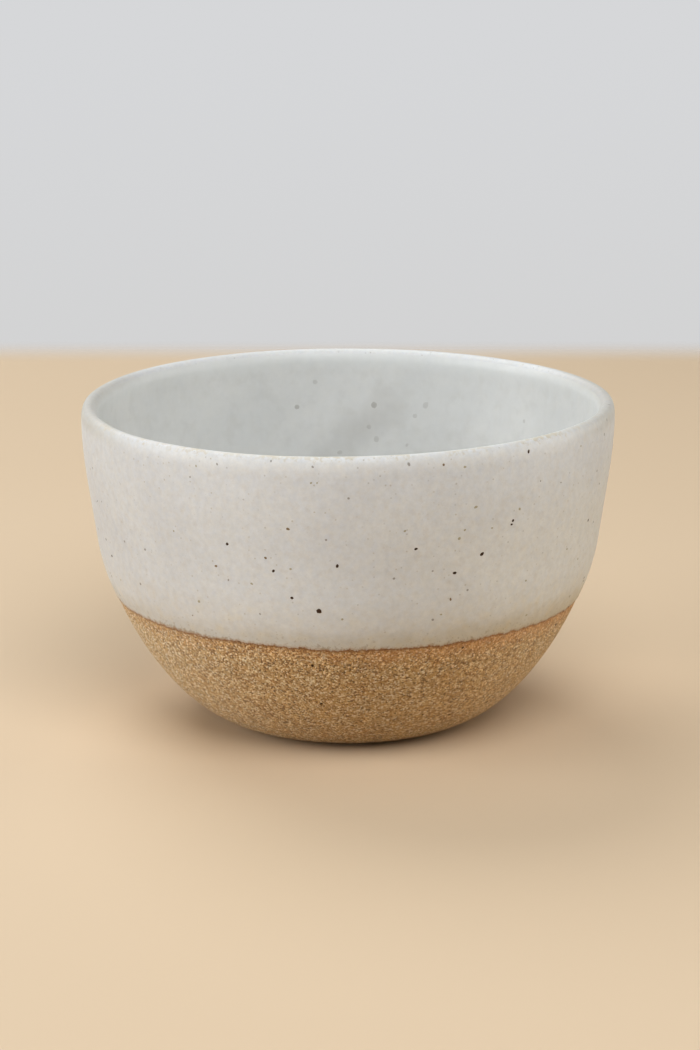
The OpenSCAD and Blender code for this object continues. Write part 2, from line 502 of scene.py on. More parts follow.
def turnedTree():
    tree, given = geometryTree("turnedOnTheWheel", {
        "Profile": "Geometry", "Segments": "Int", "Stations": "Int", "Unevenness": "Float",
        "Grain Height": "Float", "Grain Size": "Float", "Material": "Material"})
    grid, across, up = unitGrid(tree, given["Segments"] + 1, given["Stations"])
    turn = across * (2 * math.pi)            # from the back round by the left, front and right
    station = tree.maths("ROUND", (up + 0.5) * (given["Stations"] - 1))

    def read(value, kind="FLOAT"):
        return tree.node("GeometryNodeSampleIndex", {"data_type": kind, "domain": "POINT"},
                         {"Geometry": given["Profile"], "Value": value, "Index": station})["Value"]

    vector = "FLOAT_VECTOR"
    reach, _, height = tree.split(read(tree.node("GeometryNodeInputPosition")["Position"], vector))
    outX, _, outZ = tree.split(read(attribute(tree, "out", vector), vector))
    along = tree.vectorMaths("NORMALIZE", read(attribute(tree, "along", vector), vector))
    alongX, _, alongZ = tree.split(along)
    lineGap, breakGap, slide, grain = [
        read(attribute(tree, name)) for name in ("lineGap", "breakGap", "slide", "grain")]
    sine, cosine = tree.maths("SINE", turn), tree.maths("COSINE", turn)
    base = tree.joined(reach * sine, -(reach * cosine), height)
    ring = tree.joined(sine, cosine, 0.0)

    # the glaze line wanders by hand: read bumps in front, and the same kind of wander at the back
    wanderStart, wanderFull = [math.radians(angle) for angle in hand["wanderFrom"]]
    wander = tree.swing(ring, hand["wanderShare"], hand["lineWander"])
    wander = wander * tree.eased(tree.maths("ABSOLUTE", turn), wanderStart, wanderFull)
    tremble = tree.swing(ring, hand["trembleShare"], hand["lineTremble"], 3.0, 0.75)
    wobble = wander + tremble + hand["lineBase"]
    for middle, width, bumpHeight in hand["lineBumps"]:
        wobble = wobble + hump(tree, turn, middle, width) * bumpHeight

    # the rim sways off the level
    first, second = hand["rimSway"]
    sway = sine * first + tree.maths("SINE", turn * 2) * second
    sway = sway * tree.eased(height, hand["swayStart"] * mm, bowl["height"] * mm) * mm

    lumps = tree.swing(base, hand["lumps"] * mm, 1.0, 1.0)
    lumps = lumps + tree.swing(base, hand["dents"] * mm, hand["dentShare"])
    coarse = (tree.noise(base, given["Grain Size"], 2.0, 0.6) - 0.5) * grain * given["Grain Height"] * 2
    lift = lumps * given["Unevenness"] + coarse
    push = slide * wobble * mm
    reachNow = reach + outX * lift + alongX * push
    heightNow = tree.maths("MAXIMUM", height + outZ * lift + alongZ * push, 0.0) + sway

    shown = stored(tree, grid, "lineGap", lineGap - wobble * (1 - slide))
    shown = stored(tree, shown, "breakGap", breakGap)
    shown = stored(tree, shown, "grain", grain)
    closed = placedAt(tree, shown, reachNow * sine, -(reachNow * cosine), heightNow, 0.001 * mm)
    return finishTree(tree, closed, given["Material"], corners=True)


# Materials

def material(name):
    made = bpy.data.materials.new(name)
    made.use_nodes = True
    return made, Tree(made.node_tree)


def carried(tree, name):
    return tree.node("ShaderNodeAttribute", {"attribute_name": name})["Fac"]


def readings(tree):
    # the place in millimetres, and how far it lies from the glaze line and from the break of the lip
    place = tree.scaled(tree.node("ShaderNodeTexCoord")["Object"], 1 / mm)
    return place, carried(tree, "lineGap"), carried(tree, "breakGap")


def surface(tree, sockets):
    shader = tree.node("ShaderNodeBsdfPrincipled", {}, sockets)["BSDF"]
    tree.node("ShaderNodeOutputMaterial", {}, {"Surface": shader})


# In the finishes below, lengths are in millimetres. Swings are a width, an amount, a detail and a roughness.
# Blots are a width, the noise where they start and where they are full, how much they are then, a detail and
# a roughness. A change over a place is where it starts, where it is full (both up from the glaze line or to
# the right of the middle), and how much it is then, if not 1. Shades and tints are lighter and warmer.

lip = {                                      # the gaps here run out from the break of the lip
    # painted light and shade over the lip: the pale band is a painted highlight, and at the far left and
    # right the outer side gets painted shade and the inner side a little painted light
    "paleBand": (-5.5, -1.5, 4.5, 7.5), "paleSides": (-60, -25, 25, 62), "paleShares": (0.2, 0.4),
    "farEnds": (46, 63),                     # the bowl's far left and right
    "outerBand": (-1.8, 0.8, 4.5, 7.5), "outerShade": -0.18, "outerTint": 0.06,
    "crestShade": (4.5, 2.5, -0.1),
    "innerBand": (-8.0, -4.5, -2.5, -0.5), "innerShade": 0.05,
    "bare": paint(200, 187, 158),            # clay showing where the coat breaks over the lip
    "breakMiddle": 2.3, "breakEnds": (1.4, -0.1), "breakSwing": (1.0, 3.0, 3.0, 0.6),
    "breakBlots": (9.0, 0.34, 0.62, 0.8), "breakLeast": 0.2,
    "breakFront": (-5, -45, 0.9), "frontLeast": 0.1, "bareShare": 0.7,
}


def paintLipLightAndShade(tree, colour, place, breakGap, white):
    # a paler painted highlight over the lip, and painted shade, a little greyer, outside at the far left and
    # right, with a little painted light inside there
    x, _, _ = tree.split(place)
    least, more = lip["paleShares"]
    share = tree.band(breakGap, *lip["paleBand"]) * (tree.band(x, *lip["paleSides"]) * more + least)
    colour = tree.mixed(share, colour, white)
    far = tree.eased(tree.maths("ABSOLUTE", x), *lip["farEnds"])
    outer = far * tree.band(breakGap, *lip["outerBand"])
    inner = far * tree.band(breakGap, *lip["innerBand"])
    crestShade = outer * tree.eased(breakGap, *lip["crestShade"])
    shade = inner * lip["innerShade"] + outer * lip["outerShade"] + crestShade
    return tree.varied(colour, shade, outer * lip["outerTint"])


def brokenLip(tree, colour, place, breakGap):
    # the coat breaks to clay in a thin ragged band over the lip, most of it on the side turned to the front
    away = tree.maths("ABSOLUTE", breakGap - lip["breakMiddle"]) + tree.swing(place, *lip["breakSwing"])
    share = tree.eased(away, *lip["breakEnds"]) * (tree.blots(place, *lip["breakBlots"]) + lip["breakLeast"])
    share = share * (tree.eased(tree.split(place)[1], *lip["breakFront"]) + lip["frontLeast"])
    return tree.mixed(share * lip["bareShare"], colour, lip["bare"])


outerFinish = {
    # the lip colour is the paler painted highlight laid over the lip
    "body": paint(213, 213, 210), "lip": paint(226, 225, 219), "roughness": 0.54, "roughSwing": 0.16,
    "cloud": paint(206, 206, 204), "cloudBlots": (22, 0.4, 0.68, 0.7), "cloudShift": (9.0, 4.0, 6.0),
    "blotch": paint(205, 201, 194),          # small and warm, where iron comes through
    "blotchBlots": (1.9, 0.48, 0.72, 0.5, 3.0, 0.62),
    # partly the coat thinning to its line and partly painted warm light, tan to the right
    "pool": (paint(184, 181, 172), paint(186, 174, 148)),   # where the coat thins to its line, left and right
    "poolSwing": (5.0, 3.0), "poolEnds": (7.5, 0.2), "poolSides": (-35, 45), "poolShares": (0.5, 0.2),
    "shadeSwing": (1.6, 0.16, 4.0, 0.7), "tintSwing": (1.7, 0.085, 3.0, 0.7), "coolTint": -0.03,
    # painted shade down the wall, painted warm light there to the right, and painted light at the middle
    # front
    "low": (42, 20), "lowShade": -0.035, "lowTint": (-10, 42, 0.06),      # down the wall, and to the right
    "frontShade": (32, 0, 0.03), "lineTint": (14, 2, 0.025), "warmSwing": (3.5, 0.18), "warmEnds": (16, 3),
    "fleck": (paint(150, 142, 128), paint(158, 142, 108)), "fleckSize": 1.2, "fleckWarp": (0.3, 0.2),
    "fleckEnds": (0.24, 0.08, 0.5), "fleckPick": (0.55, 1.0), "fleckKinds": (0.45, 0.55),
    "stain": paint(128, 106, 74),            # brown flecks that gather over the line
    "stainNoise": (0.8, 3.0, 0.6), "stainNear": (5.5, 0.2), "nearGain": 0.03, "stainFuzz": (1.8, 0.2, 0.2),
    "stainEnds": (0.57, 0.7, 0.5), "raggedSwing": (0.5, 0.8, 3.0, 0.65),
    "rust": paint(166, 130, 88), "rustEnds": (1.1, 0.15, 0.5),      # the last millimetre of the coat
    "edge": paint(134, 86, 44), "edgeEnds": (0.36, 0.12, 0.85),     # iron brown at the very line
    "pits": (0.55, 3.0, 0.6), "skin": 2.6, "skinGain": 1.5, "bump": (0.5, 0.05),
}
tintShift = (31.0, 17.0, 9.0)                # so that tints don't lie where shades do


def fuzzAround(tree, place):
    # how much brown gathers over the line, by the place round the bowl
    x, y, _ = tree.split(place)
    turn = tree.maths("ARCTAN2", x, -y)
    total = 0.0
    for middle, width, strength in hand["lineFuzz"]:
        total = total + hump(tree, turn, middle, width) * strength
    return total


def outerColour(tree, place, lineGap, breakGap):
    f = outerFinish
    x, _, _ = tree.split(place)
    cloud = tree.blots(tree.vectorMaths("ADD", place, f["cloudShift"]), *f["cloudBlots"])
    colour = tree.mixed(cloud, f["body"], f["cloud"])
    colour = tree.mixed(tree.blots(place, *f["blotchBlots"]), colour, f["blotch"])
    pooled = tree.eased(lineGap + tree.swing(place, *f["poolSwing"]), *f["poolEnds"])
    side = tree.eased(x, *f["poolSides"])
    least, more = f["poolShares"]
    colour = tree.mixed(pooled * (side * more + least), colour, tree.mixed(side, *f["pool"]))
    colour = paintLipLightAndShade(tree, colour, place, breakGap, f["lip"])

    # painted shade a little greyer down the wall, painted warm light there to the right and painted light at
    # the middle front, and warm in patches over the line
    low = tree.eased(lineGap, *f["low"])
    shade = tree.swing(place, *f["shadeSwing"]) + low * f["lowShade"]
    shade = shade + tree.eased(tree.maths("ABSOLUTE", x), *f["frontShade"])
    tint = tree.swing(tree.vectorMaths("ADD", place, tintShift), *f["tintSwing"])
    tint = tint + low * tree.eased(x, *f["lowTint"]) + f["coolTint"]
    warm = tree.maths("MAXIMUM", tree.swing(place, *f["warmSwing"]), 0.0)
    tint = tint + warm * tree.eased(lineGap, *f["warmEnds"]) + tree.eased(lineGap, *f["lineTint"])
    colour = tree.varied(colour, shade, tint)

    # flecks all over, and brown ones that gather over the line
    lumpSize, pull = f["fleckWarp"]
    warp = tree.scaled(tree.noise(place, lumpSize, 1.0, 0.5, "Color"), pull)
    warped = tree.vectorMaths("ADD", place, warp)
    pick, kind, _ = tree.split(tree.cells(warped, f["fleckSize"], "Color"))
    fleck = tree.eased(tree.cells(warped, f["fleckSize"]), *f["fleckEnds"])
    fleck = fleck * tree.eased(pick, *f["fleckPick"])
    fleckColour = tree.mixed(tree.eased(kind, *f["fleckKinds"]), *f["fleck"])
    colour = tree.mixed(fleck, colour, fleckColour)
    near = tree.eased(lineGap, *f["stainNear"])
    fuzz = tree.eased(lineGap, *f["stainFuzz"]) * fuzzAround(tree, place)
    gathered = tree.noise(place, *f["stainNoise"]) + near * near * f["nearGain"] + fuzz
    colour = tree.mixed(tree.eased(gathered, *f["stainEnds"]) * near, colour, f["stain"])
    colour = brokenLip(tree, colour, place, breakGap)
    ragged = lineGap + tree.swing(place, *f["raggedSwing"])
    colour = tree.mixed(tree.eased(ragged, *f["rustEnds"]), colour, f["rust"])
    return tree.mixed(tree.eased(ragged, *f["edgeEnds"]), colour, f["edge"])


def outerMaterial():
    f = outerFinish
    made, tree = material("satinOuterGlaze")
    place, lineGap, breakGap = readings(tree)
    skin = tree.noise(place, f["skin"])
    surface(tree, {
        "Base Color": outerColour(tree, place, lineGap, breakGap),
        "Roughness": f["roughness"] + (skin - 0.5) * f["roughSwing"], "IOR": 1.5,
        "Normal": tree.bumped(tree.noise(place, *f["pits"]) + skin * f["skinGain"], *f["bump"])})
    return made


linerFinish = {
    # the lip colour is the paler painted highlight laid over the lip
    "body": paint(215, 215, 211), "lip": paint(224, 226, 223), "roughness": 0.5, "roughSwing": 0.14,
    "cloud": paint(204, 205, 202), "cloudBlots": (24, 0.38, 0.66, 0.6),
    "blotch": paint(197, 196, 190), "blotchBlots": (4.0, 0.48, 0.72, 0.3, 3.0, 0.55),
    "smear": paint(186, 184, 178),           # a soft darker streak across the wall that faces the front
    "smearLine": (Vector((-7.0, 57.5, 49.0)), Vector((12.0, 59.5, 62.0))), "smearReach": 8.0,
    "smearSwing": (7.0, 5.0), "smearShare": 0.5,
    "shadeSwing": (2.2, 0.05, 3.0, 0.6), "tintSwing": (3.0, 0.02, 3.0, 0.6),
    # painted light on the liner's right and painted shade on its left
    "rightShade": (25, 55, 0.06), "leftShade": (-20, -50, -0.03),
    "skin": (2.8, 3.0), "bump": (0.3, 0.05),
}


def smearAt(tree, place):
    # 1 on the line of the smear, falling softly to 0 at its reach
    start, end = linerFinish["smearLine"]
    way = end - start
    fromStart = tree.vectorMaths("SUBTRACT", place, start)
    share = tree.vectorMaths("DOT_PRODUCT", fromStart, tuple(way / way.length_squared))
    share = tree.maths("MINIMUM", tree.maths("MAXIMUM", share, 0.0), 1.0)
    nearest = tree.vectorMaths("ADD", tree.scaled(tuple(way), share), start)
    away = tree.vectorMaths("DISTANCE", place, nearest)
    return tree.eased(away + tree.swing(place, *linerFinish["smearSwing"]), linerFinish["smearReach"], 0.0)


def linerColour(tree, place, lineGap, breakGap):
    f = linerFinish
    x, _, _ = tree.split(place)
    colour = tree.mixed(tree.blots(place, *f["cloudBlots"]), f["body"], f["cloud"])
    colour = tree.mixed(tree.blots(place, *f["blotchBlots"]), colour, f["blotch"])
    colour = tree.mixed(smearAt(tree, place) * f["smearShare"], colour, f["smear"])
    colour = paintLipLightAndShade(tree, colour, place, breakGap, f["lip"])
    # painted light to the right and painted shade to the left
    shade = tree.swing(place, *f["shadeSwing"]) + tree.eased(x, *f["rightShade"])
    shade = shade + tree.eased(x, *f["leftShade"])
    tint = tree.swing(tree.vectorMaths("ADD", place, tintShift), *f["tintSwing"])
    return brokenLip(tree, tree.varied(colour, shade, tint), place, breakGap)


def linerMaterial():
    f = linerFinish
    made, tree = material("satinLinerGlaze")
    place, lineGap, breakGap = readings(tree)
    skin = tree.noise(place, *f["skin"])
    surface(tree, {
        "Base Color": linerColour(tree, place, lineGap, breakGap),
        "Roughness": f["roughness"] + (skin - 0.5) * f["roughSwing"], "IOR": 1.5,
        "Normal": tree.bumped(skin, *f["bump"])})
    return made


stonewareFinish = {
    "dark": paint(90, 62, 34), "brown": paint(149, 107, 60), "tan": paint(190, 154, 100),
    "cream": paint(236, 218, 180), "grain": 0.4, "sandShare": 0.8, "wash": (6.0, 3.0), "roughness": 0.75,
    "sandStops": ((0.05, "dark"), (0.2, "brown"), (0.45, "tan"), (0.66, "tan"), (0.9, "cream")),
    "tint": 0.02, "kindTint": 0.06, "tintSwing": (2.6, 0.28, 3.0, 0.6),
    "shade": -0.06, "shadeSwing": (0.9, 0.2, 3.0, 0.6),
    "nearSwing": (0.5, 0.9, 1.0), "nearEnds": (-12, -2),      # more contrast under the line
    # painted light and sheen: the clay is painted lighter and cooler to the left and at the far left and
    # right, and a little warmer and lighter to the right
    "leftEnds": (-10, -48), "leftTint": -0.23, "leftShade": 0.19,
    "rightEnds": (6, 32), "rightTint": 0.06, "rightShade": 0.02,
    "farRight": (26, 46), "farLeft": (-30, -48, 0.6), "farTint": -0.1, "farShade": 0.12,
    # painted shade, darker toward the foot
    "footShade": (-16, -34, -0.1),
    "flash": paint(200, 134, 74),            # toasted orange under the glaze line
    "flashSwing": (4.0, 3.0), "flashEnds": (-6.5, -0.3), "flashSides": (-30, 40, 0.3), "flashLeast": 0.18,
    "edge": (paint(120, 76, 36), paint(160, 104, 52)), "edgeSides": (15, 45),   # left and right
    "edgeSwing": (0.5, 0.7, 3.0, 0.65), "edgeEnds": (-0.85, -0.25, 0.65),
    "gritShare": 2.2, "gritGain": 0.8, "bump": (1.0, 0.2),
    "sheen": paint(255, 226, 186), "sheenWeight": 0.3, "sheenRoughness": 0.5,
}


def sandColour(tree, place, lineGap, pick, kind):
    # pick runs from dark to cream grains, and kind from cool to warm ones
    f = stonewareFinish
    x, _, _ = tree.split(place)
    stops = [(at, f[name]) for at, name in f["sandStops"]]
    sand = tree.node("ShaderNodeValToRGB", {"stops": stops}, {"Fac": pick})["Color"]
    wash = tree.mixed(tree.noise(place, *f["wash"]), f["brown"], f["tan"])
    colour = tree.mixed(f["sandShare"], wash, sand)
    # painted light and sheen on the sides, lighter and cooler to the left and far out, warmer to the right
    left, right = tree.eased(x, *f["leftEnds"]), tree.eased(x, *f["rightEnds"])
    far = tree.eased(x, *f["farRight"]) + tree.eased(x, *f["farLeft"])
    tint = (kind - 0.5) * f["kindTint"] + tree.swing(place, *f["tintSwing"]) + right * f["rightTint"]
    tint = tint + left * f["leftTint"] + f["tint"] + far * f["farTint"]
    shade = tree.swing(place, *f["shadeSwing"]) + left * f["leftShade"] + right * f["rightShade"]
    shade = shade + far * f["farShade"] + f["shade"]
    shade = shade + tree.swing(place, *f["nearSwing"]) * tree.eased(lineGap, *f["nearEnds"])
    # painted shade darker toward the foot
    shade = shade + tree.eased(lineGap, *f["footShade"])
    colour = tree.varied(colour, shade, tint)
    toast = tree.eased(lineGap + tree.swing(place, *f["flashSwing"]), *f["flashEnds"])
    colour = tree.mixed(toast * (tree.eased(x, *f["flashSides"]) + f["flashLeast"]), colour, f["flash"])
    edge = tree.eased(lineGap + tree.swing(place, *f["edgeSwing"]), *f["edgeEnds"])
    brown = tree.mixed(tree.eased(x, *f["edgeSides"]), *f["edge"])
    return tree.mixed(edge, colour, brown)


def clayColour(tree, place, lineGap, breakGap):
    pick, kind, _ = tree.split(tree.cells(place, stonewareFinish["grain"], "Color"))
    return sandColour(tree, place, lineGap, pick, kind)


def stonewareMaterial():
    f = stonewareFinish
    made, tree = material("bareStoneware")
    place, lineGap, breakGap = readings(tree)
    grit = tree.noise(place, f["grain"] * f["gritShare"], 3.0, 0.6) * f["gritGain"]
    surface(tree, {
        "Base Color": clayColour(tree, place, lineGap, breakGap), "Roughness": f["roughness"],
        "Normal": tree.bumped(1 - tree.cells(place, f["grain"]) + grit, *f["bump"]),
        "Specular IOR Level": 0.5,
        "Sheen Weight": f["sheenWeight"], "Sheen Roughness": f["sheenRoughness"], "Sheen Tint": f["sheen"]})
    return made


# The three turned pieces

outerPiece = {"segments": 660, "edgeSteps": 8, "wallSteps": 76, "lipSteps": (26, 8), "hiddenSteps": (12, 8),
              "uneven": 0.06}
linerPiece = {"segments": 512, "lipSteps": 12, "insideSteps": (46, 30, 30), "hiddenSteps": 30, "uneven": 0.06}
clayPiece = {"segments": 640, "recessSteps": 10, "bareSteps": 100, "coatedSteps": 8, "lipSteps": 12,
             "insideSteps": (8, 6, 8), "uneven": 0.06, "grainHeight": 0.075, "grainSize": 1.3,
             "recessGrain": 0.5, "recessGap": -40.0,         # the recess counts as this far below the line
             "grainStart": 1.5,              # the grain grows over this height above the foot
             "coatStart": 0.6, "tuck": 0.12}                 # the clay lies a little under the coats

turning = turnedTree()


def turned(name, points, settings, finish):
    return grown(name, chain(name + "Outline", points), turning, {
        "Segments": settings["segments"], "Stations": len(points), "Unevenness": settings["uneven"] * mm,
        "Grain Height": settings.get("grainHeight", 0.0) * mm,
        "Grain Size": settings.get("grainSize", 1.0) * mm, "Material": finish})


def thinned(stations, keep):
    # about keep stations, evenly spread, with the first and the last
    picks = np.unique(np.round(np.linspace(0, len(stations) - 1, keep)).astype(int))
    return [stations[i] for i in picks]


def outerPoints():
    settings, edgeT = outerPiece, bowl["edgeT"]
    spot, out, _ = lineStation
    upWay = leftOf(out)
    centre = spot + edgeT * upWay
    points = [point(lineStation, 0, slides=True)]
    for angle in np.linspace(0, math.pi / 2, settings["edgeSteps"] + 1)[1:]:
        rolled = point(lineStation, 0, slides=True)
        rolled["spot"] = centre + edgeT * (math.sin(angle) * out - math.cos(angle) * upWay)
        rolled["lineGap"] = edgeT * (1 - math.cos(angle))
        points.append(rolled)
    wall = between(fineOutside, centre[1] + edgeT, lipStart)
    shown = thinned(wall, settings["wallSteps"]) + wholeLip(*settings["lipSteps"])
    runs = runsAlong(shown)
    for station, run in zip(shown, runs):
        # the coat thickens away from its line
        thick = edgeT + (station[2] - edgeT) * softened(min(1.0, run / bowl["taperL"]))
        points.append(point(station, thick if station[2] else 0.0, slides=True))
        points[-1]["breakGap"] = runs[-1] - run
    wallSteps, lipSteps = settings["hiddenSteps"]
    hidden = thinned(between(fineOutside, bowl["lineH"], lipStart), wallSteps) + thinned(lipOver, lipSteps)
    for station in hidden[::-1]:
        points.append(point(station, station[2] - coatT, slides=True))
    return points + [point(lineStation, 0, slides=True)]


def linerPoints():
    inside = between(insideRun(*linerPiece["insideSteps"]), 0, lipEnd)
    shown = overLip(-1, softLip["splitAngle"], 0, linerPiece["lipSteps"]) + inside
    shownSide = [point(station, station[2]) for station in shown]
    for made, run in zip(shownSide, runsAlong(shown)):
        made["breakGap"] = -run
    hidden = lipInside + thinned(inside, linerPiece["hiddenSteps"])
    return [point(station, station[2] - coatT) for station in hidden][::-1] + shownSide


def clayPoints():
    settings = clayPiece
    points = []
    for u in np.linspace(0, 1, settings["recessSteps"] + 1):
        station = (cubicSpot(recessCurve, u), rightOf(cubicWay(recessCurve, u)), coatT)
        points.append(point(station, 0, grain=settings["recessGrain"] * (1 - u)))
        points[-1]["lineGap"] = settings["recessGap"]
    bare = [station for station in fineOutside if station[0][1] < bowl["lineH"]] + [lineStation]
    for station in thinned(bare, settings["bareSteps"]):
        points.append(point(station, 0, grain=min(1.0, station[0][1] / settings["grainStart"])))
    coated = between(fineOutside, bowl["lineH"] + settings["coatStart"], lipStart)
    coated = thinned(coated, settings["coatedSteps"])
    inside = between(insideRun(*settings["insideSteps"]), 0, lipEnd)
    for station in coated + thinned(lipOver + lipInside, settings["lipSteps"]) + inside:
        points.append(point(station, station[2] - coatT - settings["tuck"]))
    return points


outerGlaze = turned("outerGlaze", outerPoints(), outerPiece, outerMaterial())
linerGlaze = turned("linerGlaze", linerPoints(), linerPiece, linerMaterial())
clayBody = turned("clayBody", clayPoints(), clayPiece, stonewareMaterial())
for piece, node, slotName in (
        (outerGlaze, "outer_glaze", "outer_glaze"),
        (linerGlaze, "liner_glaze", "liner_glaze"),
        (clayBody, "clay_body", "stoneware")):
    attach(piece, "root")
    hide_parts(node)


# Camera at the photograph's viewing angle

shot = {"place": (0.5, -681.5, 221.54), "pitch": 14.466, "lens": 100.0, "sensorW": 36.0,
        "focalPixels": 2917.0, "frameW": 700, "frameH": 1050}
cameraData = bpy.data.cameras.new("camera")
cameraData.lens = shot["lens"]
cameraData.sensor_width = shot["sensorW"]
camera = bpy.data.objects.new("camera", cameraData)
camera.location = Vector(shot["place"]) * mm
camera.rotation_euler = (math.radians(90 - shot["pitch"]), 0, 0)
scene.collection.objects.link(camera)
scene.camera = camera


# Iron specks that came through the glaze: thin domes, whose rims take the colour of the glaze under them

speckLook = {
    "iron": paint(50, 28, 8), "rust": paint(112, 92, 58), "ochre": paint(150, 141, 98),
    "grey": paint(136, 130, 120), "halo": paint(152, 108, 44),
    "haloTones": (0.3, 0.6), "haloEnds": (0.98, 0.5, 0.7),
    "rimSwing": (0.25, 0.2), "crispEnds": (0.76, 0.44),
    "blurredEnds": (0.95, 0.1), "blurredDepths": (0.5, 0.4),    # the pale specks inside have no hard rim
    "segments": 12, "rows": 4, "stretch": (0.8, 1.2), "domeShare": 0.07, "sinkShare": 0.05,
    "raggedShare": 0.3, "raggedSize": 0.42,
}
speckKinds = {                               # place on the ramp of colours, share covered, dome against core
    "iron": (0.0, 1.0, 1.95), "rust": (0.25, 0.87, 1.65), "ochre": (0.5, 0.6, 1.85),
    "grey": (1.0, 0.64, 1.8), "soft": (1.0, 0.34, 2.1), "faint": (1.0, 0.15, 2.4),
}

# Places in the photograph's pixels, with the width of each speck in millimetres
outerSpecks = {
    "iron": [
        (227, 544, 0.7), (273.4, 571, 0.72), (337.3, 566, 0.74), (292, 598, 0.7), (319, 611, 1.14),
        (416, 549, 0.7), (482, 554, 0.9), (454.8, 573, 0.8), (513, 520.6, 0.66), (511.8, 524.4, 0.6),
        (528.7, 451.6, 0.66)],
    "rust": [
        (265.5, 558, 0.75), (287.8, 529, 0.8), (450.6, 599.5, 0.66), (216, 566, 0.75),
        (443.7, 464.8, 0.6), (192.6, 615.4, 0.44)],
    "grey": [
        (271, 461, 0.42), (190, 477, 0.46), (348.6, 498.4, 0.6), (326, 540, 0.58), (145, 549.5, 0.7),
        (312.7, 467, 0.5), (124.5, 541.5, 0.66), (140.4, 584, 0.75), (260, 614, 0.5), (228.4, 580, 0.56),
        (432.6, 571, 0.46),
        (467.6, 590, 0.6), (432.8, 619.8, 0.68), (409, 464.4, 0.66), (540.6, 481, 0.4), (609, 404.7, 0.6),
        (607, 420, 0.6), (561, 482.6, 0.46), (394, 578.6, 0.62), (217, 464, 0.5)],
    "ochre": [
        (465, 467, 0.6), (476, 507, 0.74), (519.8, 509, 0.7), (459.5, 538.6, 0.72), (405, 531, 0.56),
        (465, 530, 0.56),
        (492, 528, 0.5), (567, 549, 0.64), (526, 580.6, 0.56), (526.5, 615, 0.56), (342.3, 619.4, 0.56),
        (290.6, 569, 0.56), (251.8, 583.8, 0.6), (196, 466, 0.5), (173.7, 531, 0.5), (581, 446, 0.5),
        (441, 614.6, 0.52),
        (199, 601.6, 0.66), (311, 483, 0.52), (317, 483, 0.4), (577.8, 558.8, 0.6)],
}
linerSpecks = {
    "soft": [(297, 407, 1.2), (374, 405, 1.5)],
    "faint": [(425.5, 405, 1.35), (376.5, 439, 1.3), (315, 382, 1.1), (415, 416, 1.1), (369, 427, 1.0),
              (524, 421, 0.8)],
}
claySpecks = {
    "iron": [(312.6, 666, 0.72), (321, 703.6, 0.72), (463, 647.5, 0.72), (423, 714.5, 0.6),
             (449, 714.7, 0.65), (486.4, 702, 0.7), (222, 686, 0.46)],
}

# More of them from a seed, on the sides that the photograph doesn't show: how many, between which heights,
# looking in from how far out (0 looks out from the axis), their widths, and their kinds by weight
seenTo = 63.0                                # degrees from the front, outside
ironMore = (0.15, 1.3)                       # the share of the iron specks that are wider, and by how much
scatter = {
    "outerSpecks": (170, (33, 75), 90, (0.42, 0.8), {"iron": 0.18, "rust": 0.1, "grey": 0.35, "ochre": 0.37}),
    "linerSpecks": (90, (11, 55), 0, (0.5, 1.2), {"soft": 1, "faint": 2}),
    "claySpecks": (60, (2, 30), 90, (0.4, 0.9), {"iron": 1}),
}
draw = random.Random(7)


def throughPixel(x, y):
    ahead = Vector((x - shot["frameW"] / 2, shot["frameH"] / 2 - y, -shot["focalPixels"])).normalized()
    return camera.rotation_euler.to_quaternion() @ ahead


def seenPlaces(surfaceTree, specks):
    places = []
    for kind, rows in specks.items():
        for x, y, width in rows:
            spot, up, _, _ = surfaceTree.ray_cast(camera.location, throughPixel(x, y))
            if spot is not None:
                places.append((spot, up, width, kind))
    return places


def scatteredPlaces(surfaceTree, count, heights, startR, widths, kinds):
    chance, growth = ironMore
    places = []
    while len(places) < count:
        turn = math.radians(draw.uniform(-180, 180))
        if startR and abs(math.degrees(turn)) < seenTo:
            continue
        height = draw.uniform(*heights) * mm
        outward = Vector((math.sin(turn), -math.cos(turn), 0))
        start = outward * startR * mm + Vector((0, 0, height))
        spot, up, _, _ = surfaceTree.ray_cast(start, -outward if startR else outward)
        kind = draw.choices(list(kinds), list(kinds.values()))[0]
        width = draw.uniform(*widths) * (growth if kind == "iron" and draw.random() < chance else 1.0)
        if spot is not None:
            places.append((spot, up, width, kind))
    return places


